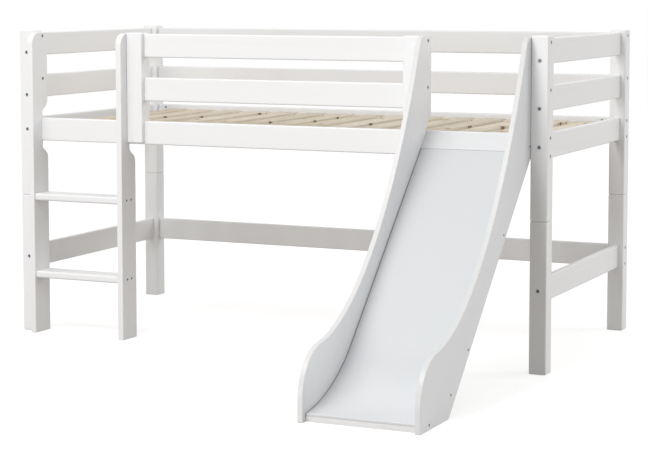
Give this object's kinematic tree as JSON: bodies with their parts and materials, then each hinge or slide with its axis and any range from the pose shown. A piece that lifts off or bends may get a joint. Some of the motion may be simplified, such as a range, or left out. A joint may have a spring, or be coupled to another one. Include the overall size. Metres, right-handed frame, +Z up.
{
  "type": "half-high bed with slide and ladder",
  "caption": "Half-high children's bed of white lacquered posts and rails on a slatted base, with guard rails all round, an upright step ladder and a curved slide at the front.",
  "frame": {"origin": "on the floor, under the middle of the whole piece, slide included", "axes": "+X along the bed from the ladder end to the slide end, +Y from the slide's foot towards the back of the bed, +Z up"},
  "size_m": [2.082, 1.959, 1.14],
  "materials": {
    "white_lacquer": "solid wood and board under opaque white satin lacquer",
    "slide_surface": "bent fibreboard under smooth pale grey-white lacquer",
    "raw_pine": "planed, unfinished knotty pine",
    "raw_beech": "fluted, unfinished beech dowel",
    "woven_tape": "flat woven polyester tape"
  },
  "bodies": {
    "root": {"back_bed_rail": "white_lacquer", "back_lower_rail": "white_lacquer", "back_middle_guard_rail": "white_lacquer", "back_slat_ledger": "white_lacquer", "back_slat_tape": "woven_tape", "back_top_guard_rail": "white_lacquer", "front_bed_rail": "white_lacquer", "front_middle_guard_rail": "white_lacquer", "front_slat_ledger": "white_lacquer", "front_slat_tape": "woven_tape", "front_top_guard_rail": "white_lacquer", "left_back_leg": "white_lacquer", "left_back_leg_dowel": "raw_beech", "left_back_upper_post": "white_lacquer", "left_end_bed_rail": "white_lacquer", "left_end_lower_rail": "white_lacquer", "left_end_middle_rail": "white_lacquer", "left_end_top_rail": "white_lacquer", "left_front_leg": "white_lacquer", "left_front_leg_dowel": "raw_beech", "left_front_upper_post": "white_lacquer", "left_ladder_stringer": "white_lacquer", "left_short_post": "white_lacquer", "left_slide_side": "white_lacquer", "lower_ladder_step": "white_lacquer", "right_back_leg": "white_lacquer", "right_back_leg_dowel": "raw_beech", "right_back_upper_post": "white_lacquer", "right_end_bed_rail": "white_lacquer", "right_end_lower_rail": "white_lacquer", "right_end_middle_rail": "white_lacquer", "right_end_top_rail": "white_lacquer", "right_front_leg": "white_lacquer", "right_front_leg_dowel": "raw_beech", "right_front_upper_post": "white_lacquer", "right_ladder_stringer": "white_lacquer", "right_short_post": "white_lacquer", "right_slide_side": "white_lacquer", "slat_01": "raw_pine", "slat_02": "raw_pine", "slat_03": "raw_pine", "slat_04": "raw_pine", "slat_05": "raw_pine", "slat_06": "raw_pine", "slat_07": "raw_pine", "slat_08": "raw_pine", "slat_09": "raw_pine", "slat_10": "raw_pine", "slat_11": "raw_pine", "slat_12": "raw_pine", "slat_13": "raw_pine", "slat_14": "raw_pine", "slat_15": "raw_pine", "slide_front_board": "white_lacquer", "slide_lower_batten": "raw_pine", "slide_middle_batten": "raw_pine", "slide_sheet": "slide_surface", "slide_top_board": "white_lacquer", "slide_upper_batten": "raw_pine", "upper_ladder_step": "white_lacquer"}
  },
  "joints": []
}
